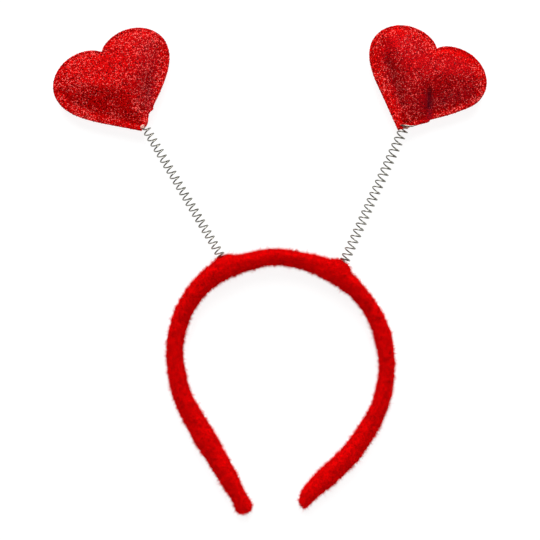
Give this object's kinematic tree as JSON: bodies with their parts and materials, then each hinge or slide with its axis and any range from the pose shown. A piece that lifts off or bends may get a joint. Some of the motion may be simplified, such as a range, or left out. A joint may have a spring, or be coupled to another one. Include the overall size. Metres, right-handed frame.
{
  "type": "heart headband",
  "caption": "Plush-covered headband with padded glitter hearts on coil springs that sway above the wearer's head.",
  "frame": {"origin": "under the middle of the band's crown, on the surface that the band lies on", "axes": "+X to the right as seen from the front, +Y to the top of the head, +Z to the front of the face, which is up as it lies"},
  "size_m": [0.247, 0.2791, 0.0148],
  "materials": {
    "plush": "short fuzzy red nap",
    "glitter_fabric": "coarse red glitter that sparkles",
    "spring_steel": "bare drawn wire",
    "hot_glue": "milky, slightly see-through"
  },
  "bodies": {
    "band": {"band": "plush", "spring_left": "spring_steel", "spring_right": "spring_steel"},
    "heart_left": {"heart_left": "glitter_fabric", "glue_left": "hot_glue"},
    "heart_right": {"heart_right": "glitter_fabric", "glue_right": "hot_glue"}
  },
  "joints": [
    {"name": "heart_left_sway", "type": "hinge", "parent": "band", "child": "heart_left", "pos_m": [-0.0471, 0.025, 0.007], "axis": [0, 0, 1], "range_deg": [-30, 30], "stiffness_Nm_per_rad": 0.012, "deforming": ["spring_left"]},
    {"name": "heart_right_sway", "type": "hinge", "parent": "band", "child": "heart_right", "pos_m": [0.0491, 0.0233, 0.007], "axis": [0, 0, -1], "range_deg": [-30, 30], "stiffness_Nm_per_rad": 0.012, "deforming": ["spring_right"]}
  ]
}
